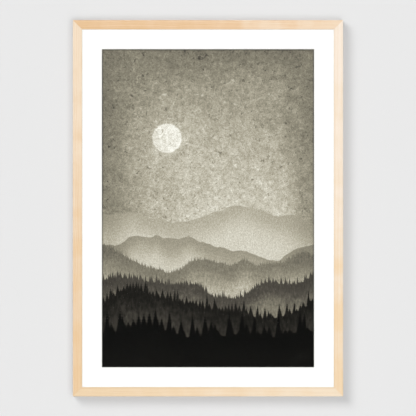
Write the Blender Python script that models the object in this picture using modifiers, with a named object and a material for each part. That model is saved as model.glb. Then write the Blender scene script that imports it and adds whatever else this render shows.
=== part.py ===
"""Framed print: a paper print behind a white window mat and acrylic glazing, in a mitred
maple moulding that hangs on a wall by a sawtooth hanger.

Units are metres, +Z is up, and the front of the frame faces -Y. The origin is where the
frame hangs: the middle notch of the sawtooth hanger, on the plane of the wall (Y = 0).
"""
import math

import bmesh
import bpy
from mathutils import Matrix, Vector

MM = 0.001
INCH = 0.0254

# Clearance that is left between pieces that touch
GAP = 0.3 * MM

# Print and mat: a 20 x 30 inch picture shows through the mat's window
WINDOW_WIDTH = 20 * INCH
WINDOW_HEIGHT = 30 * INCH
MAT_BORDER = 1.875 * INCH
MAT_THICKNESS = 1.4 * MM
PRINT_MARGIN = 1.0 * INCH
PRINT_THICKNESS = 0.5 * MM

# Moulding: its face and depth, and the rabbet that the package sits in, behind the lip
RAIL_FACE = 0.875 * INCH
RAIL_DEPTH = 30 * MM
RABBET_WIDTH = 0.25 * INCH
LIP_THICKNESS = 5 * MM
OUTER_ROUND = 1.5 * MM
SIGHT_ROUND = 1.0 * MM
BACK_CHAMFER = 0.5 * MM
ROUND_STEPS = 6

# Sheets of the package, and its play in the rabbet
GLAZING_THICKNESS = 2.0 * MM
BOARD_THICKNESS = 3.0 * MM
PACKAGE_PLAY = 1.6 * MM

# Framer's tabs: steel plates driven into the rabbet wall behind the board
TAB_WIDTH = 9.5 * MM
TAB_THICKNESS = 0.6 * MM
TAB_TAIL = 10.0 * MM
TAB_TIP = 6.0 * MM
TAB_SHOULDER = 1.5 * MM
TAB_TIP_WIDTH = 3.0 * MM
TAB_CORNER = 1.2 * MM
TABS_PER_RAIL = 3
TABS_PER_STILE = 5

# V-nails: two across each mitre, driven in from the back
V_NAIL_LEG = 5.5 * MM
V_NAIL_THICKNESS = 0.6 * MM
V_NAIL_LENGTH = 10 * MM
V_NAIL_HALF_ANGLE = math.radians(55)
V_NAIL_PLACES = (4.5 * MM, 12.5 * MM)

# Sawtooth hanger: a strip with flat screwed ends and a raised, toothed middle
STANDOFF = 3.0 * MM
HANGER_LENGTH = 64 * MM
HANGER_HEIGHT = 12 * MM
HANGER_THICKNESS = 0.8 * MM
HANGER_RAISED = 40 * MM
HANGER_RAMP = 3.0 * MM
TOOTH_DEPTH = 2.4 * MM
TOOTH_PITCH = 4.0 * MM
TOOTH_LAND = 0.4 * MM
TOOTH_NOTCHES = 9
HANGER_HOLE_X = 27.5 * MM

# Pan-head screws of the hanger
SCREW_RADIUS = 1.4 * MM
SCREW_LENGTH = 12 * MM
SCREW_POINT = 3.0 * MM
SCREW_HEAD_RADIUS = 2.9 * MM
SCREW_HEAD_HEIGHT = 1.4 * MM
SCREW_RIM_HEIGHT = 0.63 * MM
SCREW_DOME_STEPS = 6
SCREW_RECESS_SPAN = 2.8 * MM
SCREW_RECESS_WIDTH = 0.7 * MM
SCREW_RECESS_DEPTH = 0.7 * MM
SCREW_RECESS_TURN = math.radians(22.5)

# Rubber bumpers on the bottom rail
BUMPER_RADIUS = 5.0 * MM
BUMPER_ROUND = 0.8 * MM
BUMPER_INSET = 26 * MM

# Steps round a turned piece, and how far cutters reach past what they cut
TURNED_STEPS = 24
CUT_OVERRUN = 2.0 * MM
THROUGH_HANGER = 12 * MM

# Sizes and planes that follow from the driving dimensions
FRAME_WIDTH = WINDOW_WIDTH + 2 * MAT_BORDER + 2 * RAIL_FACE
FRAME_HEIGHT = WINDOW_HEIGHT + 2 * MAT_BORDER + 2 * RAIL_FACE
RABBET_WALL = RAIL_FACE - RABBET_WIDTH
BACK_Y = -STANDOFF
FRONT_Y = BACK_Y - RAIL_DEPTH
LIP_Y = FRONT_Y + LIP_THICKNESS
PACKAGE_WIDTH = FRAME_WIDTH - 2 * RABBET_WALL - 2 * PACKAGE_PLAY
PACKAGE_HEIGHT = FRAME_HEIGHT - 2 * RABBET_WALL - 2 * PACKAGE_PLAY
GLAZING_Y = LIP_Y + GAP
MAT_Y = GLAZING_Y + GLAZING_THICKNESS + GAP
PRINT_Y = MAT_Y + MAT_THICKNESS + GAP
BOARD_Y = PRINT_Y + PRINT_THICKNESS + GAP
TAB_Y = BOARD_Y + BOARD_THICKNESS + GAP

# The hanger's lower tips, then the frame's edges, measured from the middle notch
HANGER_LOW_Z = -TOOTH_DEPTH
TOP_Z = HANGER_LOW_Z + (RABBET_WALL + HANGER_HEIGHT) / 2
BOTTOM_Z = TOP_Z - FRAME_HEIGHT
MIDDLE_Z = (TOP_Z + BOTTOM_Z) / 2
PACKAGE_LOW_Z = BOTTOM_Z + RABBET_WALL + GAP
PACKAGE_Z = PACKAGE_LOW_Z + PACKAGE_HEIGHT / 2


def clear_scene():
    """Remove every object that the file opens with."""
    for obj in list(bpy.data.objects):
        bpy.data.objects.remove(obj, do_unlink=True)


def new_collection(name):
    collection = bpy.data.collections.new(name)
    bpy.context.scene.collection.children.link(collection)
    return collection


def linear(hex_colour):
    """A hex sRGB colour as linear red, green, blue and 1."""
    parts = [int(hex_colour[i:i + 2], 16) / 255 for i in (1, 3, 5)]
    light = [((c + 0.055) / 1.055) ** 2.4 if c > 0.04045 else c / 12.92 for c in parts]
    return light + [1.0]


def new_material(name, colour, roughness, metallic=0.0, alpha=1.0):
    material = bpy.data.materials.new(name)
    material.use_nodes = True
    shader = material.node_tree.nodes["Principled BSDF"]
    shader.inputs["Base Color"].default_value = linear(colour)
    shader.inputs["Roughness"].default_value = roughness
    shader.inputs["Metallic"].default_value = metallic
    shader.inputs["Alpha"].default_value = alpha
    return material


def add_piece(name, mesh, material):
    """Put a mesh in the frame's collection as one named piece."""
    piece = bpy.data.objects.new(name, mesh)
    piece.data.materials.clear()
    piece.data.materials.append(material)
    frame_pieces.objects.link(piece)
    return piece


def add_cutter(name, mesh):
    """Put a mesh in the cutters' collection, out of the render."""
    cutter = bpy.data.objects.new(name, mesh)
    cutter.hide_render = True
    cutter.display_type = "WIRE"
    cutters.objects.link(cutter)
    return cutter


def cut(piece, cutter):
    modifier = piece.modifiers.new("cut_" + cutter.name, "BOOLEAN")
    modifier.operation = "DIFFERENCE"
    modifier.solver = "EXACT"
    modifier.object = cutter


def block_mesh(name, size, centre=(0, 0, 0)):
    """A rectangular block of the given size round its centre."""
    shape = bmesh.new()
    place = Matrix.Translation(centre) @ Matrix.Diagonal((*size, 1.0))
    bmesh.ops.create_cube(shape, size=1.0, matrix=place)
    mesh = bpy.data.meshes.new(name)
    shape.to_mesh(mesh)
    shape.free()
    return mesh


def hole_mesh(name, radius, depth):
    """A plain cylinder about Z for a drilled hole."""
    shape = bmesh.new()
    bmesh.ops.create_cone(shape, cap_ends=True, segments=TURNED_STEPS, radius1=radius,
                          radius2=radius, depth=depth)
    mesh = bpy.data.meshes.new(name)
    shape.to_mesh(mesh)
    shape.free()
    return mesh


def outline_mesh(name, points, thickness):
    """A flat outline in XY, made solid by half the thickness each way along Z."""
    curve = bpy.data.curves.new(name, "CURVE")
    curve.dimensions = "2D"
    curve.fill_mode = "BOTH"
    curve.extrude = thickness / 2
    spline = curve.splines.new("POLY")
    spline.points.add(len(points) - 1)
    for point, (x, y) in zip(spline.points, points):
        point.co = (x, y, 0.0, 1.0)
    spline.use_cyclic_u = True
    holder = bpy.data.objects.new(name, curve)
    bpy.context.scene.collection.objects.link(holder)
    evaluated = holder.evaluated_get(bpy.context.evaluated_depsgraph_get())
    mesh = bpy.data.meshes.new_from_object(evaluated)
    bpy.data.objects.remove(holder, do_unlink=True)
    shape = bmesh.new()
    shape.from_mesh(mesh)
    bmesh.ops.remove_doubles(shape, verts=shape.verts, dist=0.001 * MM)
    bmesh.ops.recalc_face_normals(shape, faces=shape.faces)
    shape.to_mesh(mesh)
    shape.free()
    return mesh


def gathered_mesh(name, placed):
    """Several meshes, each with its matrix, in one mesh for a cutter."""
    shape = bmesh.new()
    for mesh, place in placed:
        copy = mesh.copy()
        copy.transform(place)
        shape.from_mesh(copy)
    mesh = bpy.data.meshes.new(name)
    shape.to_mesh(mesh)
    shape.free()
    return mesh


def arc(centre, radius, start_deg, end_deg):
    """Points along a round corner from one angle to the other."""
    angles = [math.radians(start_deg + (end_deg - start_deg) * i / ROUND_STEPS)
              for i in range(ROUND_STEPS + 1)]
    return [(centre[0] + radius * math.cos(a), centre[1] + radius * math.sin(a)) for a in angles]


def turned_mesh(name, profile):
    """A profile of radius and height, turned about Z; it runs down from the top's centre."""
    mesh = bpy.data.meshes.new(name)
    edges = [(i, i + 1) for i in range(len(profile) - 1)]
    mesh.from_pydata([(r, 0.0, z) for r, z in profile], edges, [])
    return mesh


def turn(piece):
    modifier = piece.modifiers.new("turned", "SCREW")
    modifier.axis = "Z"
    modifier.steps = TURNED_STEPS
    modifier.render_steps = TURNED_STEPS
    modifier.use_merge_vertices = True
    modifier.merge_threshold = 0.001 * MM
    modifier.use_smooth_shade = True


def facing_wall(x, y, z):
    """The place of a turned piece whose own +Z points at the wall."""
    return Matrix.Translation((x, y, z)) @ Matrix.Rotation(math.radians(-90), 4, "X")


def rail_profile():
    """The moulding's section: X runs in from the outer edge and Y from front to back."""
    outer = (OUTER_ROUND, FRONT_Y + OUTER_ROUND)
    sight = (RAIL_FACE - SIGHT_ROUND, FRONT_Y + SIGHT_ROUND)
    front = arc(outer, OUTER_ROUND, 180, 270) + arc(sight, SIGHT_ROUND, 270, 360)
    rabbet = [(RAIL_FACE, LIP_Y), (RABBET_WALL, LIP_Y), (RABBET_WALL, BACK_Y)]
    back = [(BACK_CHAMFER, BACK_Y), (0.0, BACK_Y - BACK_CHAMFER)]
    return front + rabbet + back


def mitred_rail_mesh(name, length):
    """A stick of the moulding along Z whose ends are sheared to the mitre, 45 degrees."""
    mesh = outline_mesh(name, rail_profile(), length)
    setback = GAP / 2 * math.sqrt(2)
    for vertex in mesh.vertices:
        shortened = vertex.co.x + setback
        vertex.co.z -= math.copysign(shortened, vertex.co.z)
    return mesh


def tab_outline():
    """A framer's tab: X runs into the wood from the rabbet wall, with a tapered tip."""
    half = TAB_WIDTH / 2
    upper = [(-TAB_TAIL, half - TAB_CORNER), (-TAB_TAIL + TAB_CORNER, half),
             (TAB_SHOULDER, half), (TAB_TIP, TAB_TIP_WIDTH / 2)]
    return [(x, -y) for x, y in upper] + list(reversed(upper))


def v_nail_outline(leg, thickness):
    """A V about its spine, opening along +X, with straight legs of even thickness."""
    half = thickness / 2
    along = Vector((math.cos(V_NAIL_HALF_ANGLE), math.sin(V_NAIL_HALF_ANGLE)))
    outward = Vector((-along.y, along.x))
    spine = half / math.sin(V_NAIL_HALF_ANGLE)
    upper = [leg * along - half * outward, leg * along + half * outward]
    lower = [Vector((p.x, -p.y)) for p in reversed(upper)]
    return [(spine, 0.0)] + [tuple(p) for p in upper] + [(-spine, 0.0)] + [tuple(p) for p in lower]


def side_place(angle_deg, reach):
    """The place of a rail or stile: its own X points in from the outer edge, Z along it."""
    turned = Matrix.Rotation(math.radians(angle_deg), 4, "Y")
    return Matrix.Translation((0.0, 0.0, MIDDLE_Z)) @ turned @ Matrix.Translation((-reach, 0.0, 0.0))


def tab_places(side):
    """Where a side's tabs enter the wood, evenly spaced along it, in world space."""
    inside = side["length"] - 2 * RABBET_WALL
    lay_flat = Matrix.Rotation(math.pi, 4, "Z") @ Matrix.Rotation(math.pi / 2, 4, "X")
    for i in range(side["tabs"]):
        z = inside * ((i + 0.5) / side["tabs"] - 0.5)
        wall = Matrix.Translation((RABBET_WALL, TAB_Y + TAB_THICKNESS / 2, z))
        yield side["place"] @ wall @ lay_flat


def v_nail_places(corner):
    """Where a corner's V-nails stand: each spine on the mitre line, opening inwards."""
    x_sign, z_sign = corner
    corner_point = Vector((x_sign * FRAME_WIDTH / 2, 0.0, MIDDLE_Z + z_sign * FRAME_HEIGHT / 2))
    inward = Vector((-x_sign, 0.0, -z_sign)).normalized()
    across = Vector((0.0, 1.0, 0.0)).cross(inward)
    axes = Matrix((inward, across, inward.cross(across))).transposed().to_4x4()
    for distance in V_NAIL_PLACES:
        yield Matrix.Translation(corner_point + inward * distance) @ axes


def add_rails():
    """Four mitred sticks of maple, slotted for the tabs, V-nails and hanger screws."""
    slot_tip = TAB_TIP + GAP
    tab_slot = block_mesh("tab_slot", (slot_tip + CUT_OVERRUN, TAB_WIDTH + 2 * GAP,
                                       TAB_THICKNESS + 2 * GAP), ((slot_tip - CUT_OVERRUN) / 2, 0, 0))
    slot_depth = V_NAIL_LENGTH + 2 * GAP
    v_slot = outline_mesh("v_nail_slot", v_nail_outline(V_NAIL_LEG + GAP, V_NAIL_THICKNESS + 2 * GAP),
                          slot_depth + CUT_OVERRUN)
    slot_middle = Matrix.Translation((0.0, BACK_Y + (CUT_OVERRUN - slot_depth) / 2, 0.0))
    pilot_depth = SCREW_LENGTH + GAP
    pilot = hole_mesh("pilot_hole", SCREW_RADIUS + GAP, pilot_depth + CUT_OVERRUN)
    for side in sides:
        slots = [(tab_slot, place) for place in tab_places(side)]
        for corner in side["corners"]:
            slots += [(v_slot, slot_middle @ place) for place in v_nail_places(corners[corner])]
        if side["name"] == "rail_top":
            hole_y = BACK_Y + (CUT_OVERRUN - pilot_depth) / 2
            slots += [(pilot, facing_wall(x, hole_y, HANGER_LOW_Z + HANGER_HEIGHT / 2))
                      for x in (-HANGER_HOLE_X, HANGER_HOLE_X)]
        rail = add_piece(side["name"], mitred_rail_mesh(side["name"], side["length"]), maple)
        rail.matrix_world = side["place"]
        cut(rail, add_cutter(side["name"] + "_slots", gathered_mesh(side["name"] + "_slots", slots)))


def add_sheet(name, width, height, front_y, thickness, centre_z, material):
    """A flat rectangular sheet of the package."""
    sheet = add_piece(name, block_mesh(name, (width, thickness, height)), material)
    sheet.location = (0.0, front_y + thickness / 2, centre_z)
    return sheet


def add_package():
    """Glazing, mat with its bevelled window, print and backing board, front to back."""
    add_sheet("glazing", PACKAGE_WIDTH, PACKAGE_HEIGHT, GLAZING_Y, GLAZING_THICKNESS,
              PACKAGE_Z, acrylic)
    mat = add_sheet("mat_board", PACKAGE_WIDTH, PACKAGE_HEIGHT, MAT_Y, MAT_THICKNESS,
                    PACKAGE_Z, mat_white)
    add_sheet("print_sheet", WINDOW_WIDTH + 2 * PRINT_MARGIN, WINDOW_HEIGHT + 2 * PRINT_MARGIN,
              PRINT_Y, PRINT_THICKNESS, MIDDLE_Z, print_paper)
    add_sheet("backing_board", PACKAGE_WIDTH, PACKAGE_HEIGHT, BOARD_Y, BOARD_THICKNESS,
              PACKAGE_Z, fibreboard)
    window = block_mesh("mat_window", (WINDOW_WIDTH, MAT_THICKNESS, WINDOW_HEIGHT))
    for vertex in window.vertices:
        is_front = vertex.co.y < 0
        spread = MAT_THICKNESS + CUT_OVERRUN if is_front else -CUT_OVERRUN
        vertex.co.x += math.copysign(spread, vertex.co.x)
        vertex.co.y += math.copysign(CUT_OVERRUN, vertex.co.y)
        vertex.co.z += math.copysign(spread, vertex.co.z)
    cutter = add_cutter("mat_window", window)
    cutter.location = (0.0, MAT_Y + MAT_THICKNESS / 2, MIDDLE_Z)
    cut(mat, cutter)


def add_tabs():
    """Framer's tabs, whose tips stand in the rails and whose tails lie on the board."""
    tab = outline_mesh("framers_tab", tab_outline(), TAB_THICKNESS)
    for side in sides:
        for i, place in enumerate(tab_places(side), start=1):
            piece = add_piece("tab_" + side["label"] + "_" + str(i), tab.copy(), steel)
            piece.matrix_world = place


def add_v_nails():
    """Two V-nails across each mitre, just under the rails' back faces."""
    nail = outline_mesh("v_nail", v_nail_outline(V_NAIL_LEG, V_NAIL_THICKNESS), V_NAIL_LENGTH)
    middle = Matrix.Translation((0.0, BACK_Y - GAP - V_NAIL_LENGTH / 2, 0.0))
    for label, corner in corners.items():
        for i, place in enumerate(v_nail_places(corner), start=1):
            piece = add_piece("v_nail_" + label + "_" + str(i), nail.copy(), steel)
            piece.matrix_world = middle @ place


def hanger_section():
    """The strip seen along Z: flat ends near the rail and a raised middle at the wall."""
    low = BACK_Y + GAP
    high = -HANGER_THICKNESS
    bend = HANGER_RAISED / 2
    rail_side = [(HANGER_LENGTH / 2, low), (bend + HANGER_RAMP, low), (bend, high)]
    wall_side = [(x, y + HANGER_THICKNESS) for x, y in rail_side]
    half = rail_side[::-1] + wall_side
    return half + [(-x, y) for x, y in reversed(half)]


def notch_outline():
    """One notch of the saw edge: a V up to the plate, with straight sides below it."""
    half = (TOOTH_PITCH - TOOTH_LAND) / 2
    return [(0.0, 0.0), (-half, -TOOTH_DEPTH), (-half, -TOOTH_DEPTH - CUT_OVERRUN),
            (half, -TOOTH_DEPTH - CUT_OVERRUN), (half, -TOOTH_DEPTH)]


def add_hanger():
    """The sawtooth hanger and the two screws that hold it on the top rail."""
    middle_z = HANGER_LOW_Z + HANGER_HEIGHT / 2
    hanger = add_piece("sawtooth_hanger", outline_mesh("sawtooth_hanger", hanger_section(),
                                                       HANGER_HEIGHT), zinc)
    hanger.location = (0.0, 0.0, middle_z)
    notch = outline_mesh("saw_notch", notch_outline(), THROUGH_HANGER)
    hole = hole_mesh("hanger_hole", SCREW_RADIUS + GAP, THROUGH_HANGER)
    upright = Matrix.Rotation(math.pi / 2, 4, "X")
    first = -TOOTH_PITCH * (TOOTH_NOTCHES - 1) / 2
    cuts = [(notch, Matrix.Translation((first + TOOTH_PITCH * i, 0.0, 0.0)) @ upright)
            for i in range(TOOTH_NOTCHES)]
    cuts += [(hole, facing_wall(x, 0.0, middle_z)) for x in (-HANGER_HOLE_X, HANGER_HOLE_X)]
    cut(hanger, add_cutter("hanger_cuts", gathered_mesh("hanger_cuts", cuts)))
    seat_y = BACK_Y + GAP + HANGER_THICKNESS + GAP
    for label, x in (("left", -HANGER_HOLE_X), ("right", HANGER_HOLE_X)):
        add_screw("hanger_screw_" + label, x, seat_y, middle_z)


def add_screw(name, x, seat_y, z):
    """A pan-head screw: a low domed head with a cross recess, a shank and a point."""
    tip = seat_y - (BACK_Y - SCREW_LENGTH)
    rise = SCREW_HEAD_HEIGHT - SCREW_RIM_HEIGHT
    angles = [math.pi / 2 * i / SCREW_DOME_STEPS for i in range(SCREW_DOME_STEPS + 1)]
    dome = [(SCREW_HEAD_RADIUS * math.sin(a), SCREW_RIM_HEIGHT + rise * math.cos(a)) for a in angles]
    shank = [(SCREW_HEAD_RADIUS, 0.0), (SCREW_RADIUS, 0.0), (SCREW_RADIUS, -tip + SCREW_POINT),
             (0.0, -tip)]
    screw = add_piece(name, turned_mesh(name, dome + shank), zinc)
    screw.matrix_world = facing_wall(x, seat_y, z)
    turn(screw)
    span, width = SCREW_RECESS_SPAN / 2, SCREW_RECESS_WIDTH / 2
    arm = [(span, -width), (span, width), (width, width)]
    quarters = ((1, 0), (0, 1), (-1, 0), (0, -1))
    cross = [(u * c - v * s, u * s + v * c) for c, s in quarters for u, v in arm]
    depth = SCREW_RECESS_DEPTH + CUT_OVERRUN
    recess = add_cutter(name + "_recess", outline_mesh(name + "_recess", cross, depth))
    recess_y = seat_y + SCREW_HEAD_HEIGHT - SCREW_RECESS_DEPTH + depth / 2
    recess.matrix_world = facing_wall(x, recess_y, z) @ Matrix.Rotation(SCREW_RECESS_TURN, 4, "Z")
    cut(screw, recess)


def add_bumpers():
    """Soft round feet that keep the bottom of the frame off the wall."""
    height = STANDOFF - GAP
    centre = (BUMPER_RADIUS - BUMPER_ROUND, height - BUMPER_ROUND)
    rounded = list(reversed(arc(centre, BUMPER_ROUND, 0, 90)))
    profile = [(0.0, height)] + rounded + [(BUMPER_RADIUS, 0.0), (0.0, 0.0)]
    reach = FRAME_WIDTH / 2 - BUMPER_INSET
    for label, x in (("left", -reach), ("right", reach)):
        bumper = add_piece("bumper_" + label, turned_mesh("bumper_" + label, profile), rubber)
        bumper.matrix_world = facing_wall(x, BACK_Y + GAP, BOTTOM_Z + RABBET_WALL / 2)
        turn(bumper)


clear_scene()
frame_pieces = new_collection("framed_print")
cutters = new_collection("cutters")

maple = new_material("maple", "#F5DDBE", 0.42)
acrylic = new_material("acrylic", "#FFFFFF", 0.05, alpha=0.2)
mat_white = new_material("mat_white", "#FCFCFA", 0.85)
print_paper = new_material("print_paper", "#807B6F", 0.6)
fibreboard = new_material("fibreboard", "#9A7650", 0.75)
steel = new_material("steel", "#B9B8B4", 0.35, metallic=1.0)
zinc = new_material("zinc", "#C9C7C0", 0.3, metallic=1.0)
rubber = new_material("rubber", "#2B2B2B", 0.7)

corners = {"top_left": (-1, 1), "top_right": (1, 1), "bottom_left": (-1, -1), "bottom_right": (1, -1)}
sides = [
    {"name": "rail_top", "label": "top", "length": FRAME_WIDTH, "tabs": TABS_PER_RAIL,
     "place": side_place(90, FRAME_HEIGHT / 2), "corners": ["top_left", "top_right"]},
    {"name": "rail_bottom", "label": "bottom", "length": FRAME_WIDTH, "tabs": TABS_PER_RAIL,
     "place": side_place(-90, FRAME_HEIGHT / 2), "corners": ["bottom_left", "bottom_right"]},
    {"name": "stile_left", "label": "left", "length": FRAME_HEIGHT, "tabs": TABS_PER_STILE,
     "place": side_place(0, FRAME_WIDTH / 2), "corners": ["top_left", "bottom_left"]},
    {"name": "stile_right", "label": "right", "length": FRAME_HEIGHT, "tabs": TABS_PER_STILE,
     "place": side_place(180, FRAME_WIDTH / 2), "corners": ["top_right", "bottom_right"]},
]

add_rails()
add_package()
add_tabs()
add_v_nails()
add_hanger()
add_bumpers()
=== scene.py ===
import math

import bmesh
import bpy
import numpy as np
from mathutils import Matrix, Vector


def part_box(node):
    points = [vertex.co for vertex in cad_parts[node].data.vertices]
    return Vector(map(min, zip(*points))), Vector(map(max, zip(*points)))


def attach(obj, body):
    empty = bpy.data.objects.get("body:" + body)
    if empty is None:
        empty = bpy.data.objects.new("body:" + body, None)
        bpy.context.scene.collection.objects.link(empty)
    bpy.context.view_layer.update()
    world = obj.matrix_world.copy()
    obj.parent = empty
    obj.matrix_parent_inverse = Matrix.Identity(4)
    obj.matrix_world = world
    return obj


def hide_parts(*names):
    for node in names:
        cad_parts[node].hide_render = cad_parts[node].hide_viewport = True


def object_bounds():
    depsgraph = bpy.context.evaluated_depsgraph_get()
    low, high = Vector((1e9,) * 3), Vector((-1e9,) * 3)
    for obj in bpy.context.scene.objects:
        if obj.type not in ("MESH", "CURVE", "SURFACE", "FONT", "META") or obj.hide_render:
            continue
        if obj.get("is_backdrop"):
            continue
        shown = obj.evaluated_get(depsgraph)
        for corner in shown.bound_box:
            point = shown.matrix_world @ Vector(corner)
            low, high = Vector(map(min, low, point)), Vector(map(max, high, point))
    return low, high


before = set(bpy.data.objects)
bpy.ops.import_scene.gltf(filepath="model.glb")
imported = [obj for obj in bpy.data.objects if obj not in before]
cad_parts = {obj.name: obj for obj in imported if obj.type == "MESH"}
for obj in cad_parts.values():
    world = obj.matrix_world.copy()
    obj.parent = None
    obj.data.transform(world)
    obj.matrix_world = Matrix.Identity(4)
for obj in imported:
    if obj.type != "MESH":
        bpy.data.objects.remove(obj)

cad_low, cad_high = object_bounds()
MM = 0.001

# Four rails of pale hard maple, run as one moulding and mitred at the corners.
# Each was cut from its own board, so each has its own shade, from honey to cream.
# Sanded, arrises eased, clear satin lacquer on the face and sides; the back is bare.
FRAME_WIDTH = cad_high.x - cad_low.x
FRAME_HEIGHT = cad_high.z - cad_low.z
MIDDLE_Z = (cad_high.z + cad_low.z) / 2
rail_low, rail_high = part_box("rail_top")
RAIL_FACE = rail_high.z - rail_low.z
FRONT_Y = rail_low.y
BACK_Y = rail_high.y
LIP_THICKNESS = 5.0 * MM
RABBET_WIDTH = 6.35 * MM
OUTER_ROUND = 1.5 * MM
SIGHT_ROUND = 0.6 * MM
RABBET_ROUND = 0.3 * MM
BACK_ROUND = 0.5 * MM
MITRE_EASE = 0.22 * MM
MITRE_DRAWN_IN = 0.7 * MITRE_EASE
MITRE_HAIRLINE = 0.03 * MM
RAIL_STATIONS = 40
SHARP_ANGLE = math.radians(32)

# The wood's figure in mm: how far apart in it the boards are cut, its rings, the length,
# width and depth of each kind of mark, where the painted shade along the sight edge starts
# and is full, and how deep the bare wood of the back goes
BOARD_APART = 977
RING_SPACING = 2.6
RING_SWAY = 9.0
SWAY_SIZE = (170, 30, 30)
STREAK_SIZE = (240, 4.5, 4.5)
PATCH_SIZE = (45, 60, 60)
FIBRE_SIZE = (14, 0.4, 0.4)
FLECK_SIZE = (3.2, 0.5, 0.5)
SIGHT_SHADE_START = 4.4
SIGHT_SHADE_FULL = 2.6
BARE_BACK = 0.35

# How far streaks and patches move a board's tone, as shares of all its tones
STREAK_WEIGHT = 1.1
PATCH_WEIGHT = 1.5


def linear(hex_colour):
    """An sRGB hex colour as linear red, green, blue and alpha 1."""
    srgb = np.array([int(hex_colour[i:i + 2], 16) / 255 for i in (1, 3, 5)])
    light = np.where(srgb > 0.04045, ((srgb + 0.055) / 1.055) ** 2.4, srgb / 12.92)
    return (*light.tolist(), 1.0)


def add_node(tree, kind, inputs=None, stops=(), **settings):
    """Add one node, set its properties, and link or fill its inputs by name or number. A
    node among the inputs stands for its first output. The stops are a colour ramp's, as
    pairs of position and hex colour."""
    node = tree.nodes.new("ShaderNode" + kind)
    for key, value in settings.items():
        setattr(node, key, value)
    for number, (position, hex_colour) in enumerate(stops):
        elements = node.color_ramp.elements
        stop = elements[number] if number < 2 else elements.new(position)
        stop.position = position
        stop.color = linear(hex_colour)
    for key, value in (inputs or {}).items():
        if isinstance(value, bpy.types.Node):
            value = value.outputs[0]
        if isinstance(value, bpy.types.NodeSocket):
            tree.links.new(value, node.inputs[key])
        else:
            node.inputs[key].default_value = value
    return node


def new_material(name):
    """A material with no nodes yet, and its tree."""
    material = bpy.data.materials.new(name)
    material.use_nodes = True
    material.node_tree.nodes.clear()
    return material, material.node_tree


def closed_mesh(name, points, faces):
    """A closed mesh from an array of points, with its faces turned outwards."""
    mesh = bpy.data.meshes.new(name)
    mesh.from_pydata(np.asarray(points).reshape(-1, 3).tolist(), [], [list(f) for f in faces])
    shape = bmesh.new()
    shape.from_mesh(mesh)
    bmesh.ops.recalc_face_normals(shape, faces=shape.faces)
    shape.to_mesh(mesh)
    shape.free()
    return mesh


def new_piece(name, points, faces, material, node):
    """A closed piece, smooth but for its sharp edges, put in the place of a node."""
    mesh = closed_mesh(name, points, faces)
    mesh.polygons.foreach_set("use_smooth", np.ones(len(mesh.polygons), bool))
    mesh.set_sharp_from_angle(angle=SHARP_ANGLE)
    mesh.materials.append(material)
    piece = bpy.data.objects.new(name, mesh)
    bpy.context.scene.collection.objects.link(piece)
    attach(piece, "root")
    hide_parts(node)
    return piece


def band_faces(rings, around):
    """Quads between closed rings of points: ring i, point j is number i * around + j."""
    i, j = np.meshgrid(np.arange(rings - 1), np.arange(around), indexing="ij")
    start = i * around
    after = (j + 1) % around
    quads = np.stack([start + j, start + after, start + around + after, start + around + j], -1)
    return quads.reshape(-1, 4).tolist()


def capped_faces(rings, around):
    """Quads between closed rings of points, with a cap on the first and the last ring."""
    last = (rings - 1) * around
    return band_faces(rings, around) + [range(around), range(last, last + around)]


def corner_arc(centre, radius, start_deg, end_deg, steps):
    """Points of a round corner: centre plus radius times (cos, sin) from start to end."""
    angle = np.radians(np.linspace(start_deg, end_deg, steps + 1))
    return np.stack([centre[0] + radius * np.cos(angle), centre[1] + radius * np.sin(angle)], -1)


def rail_section():
    """The moulding's section as points (in from the outer edge, depth), all round: an arc
    at each arris and a square inner corner to the rabbet."""
    lip_y = FRONT_Y + LIP_THICKNESS
    wall = RAIL_FACE - RABBET_WIDTH
    return np.concatenate([
        corner_arc((OUTER_ROUND, FRONT_Y + OUTER_ROUND), OUTER_ROUND, 180, 270, 10),
        corner_arc((RAIL_FACE - SIGHT_ROUND, FRONT_Y + SIGHT_ROUND), SIGHT_ROUND, 270, 360, 8),
        corner_arc((RAIL_FACE - RABBET_ROUND, lip_y - RABBET_ROUND), RABBET_ROUND, 0, 90, 3),
        [(wall, lip_y)],
        corner_arc((wall - RABBET_ROUND, BACK_Y - RABBET_ROUND), RABBET_ROUND, 0, 90, 3),
        corner_arc((BACK_ROUND, BACK_Y - BACK_ROUND), BACK_ROUND, 90, 180, 4),
    ])


def rail_points(reach):
    """A rail as (along, in, depth) on a grid: along is the share f from -1 to 1 of the
    reach less the depth in, which shears both ends to the mitre. The last ring at each
    end is drawn in a little all round, which eases the arris of the joint."""
    section = rail_section()
    inward = section.mean(0) - section
    inward *= MITRE_DRAWN_IN / np.linalg.norm(inward, axis=1)[:, None]
    share = np.concatenate([[-1], np.linspace(-1, 1, RAIL_STATIONS), [1]])
    setback = np.full(len(share), MITRE_EASE)
    setback[[0, -1]] = MITRE_HAIRLINE
    drawn = np.zeros(len(share))
    drawn[[0, -1]] = 1
    across = section[None, :, 0] + drawn[:, None] * inward[None, :, 0]
    depth = section[None, :, 1] + drawn[:, None] * inward[None, :, 1]
    along = share[:, None] * (reach - setback[:, None] - across)
    return np.stack([along, across, depth], -1)


def stretched_marks(tree, place, size, detail, roughness=0.5):
    """Soft marks from 0 to 1 of a given length, width and depth: noise at the place
    divided by that size."""
    marks = add_node(tree, "VectorMath", {0: place, 1: size}, operation="DIVIDE")
    return add_node(tree, "TexNoise", {"Vector": marks, "Scale": 1.0, "Detail": detail,
                                       "Roughness": roughness})


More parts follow.
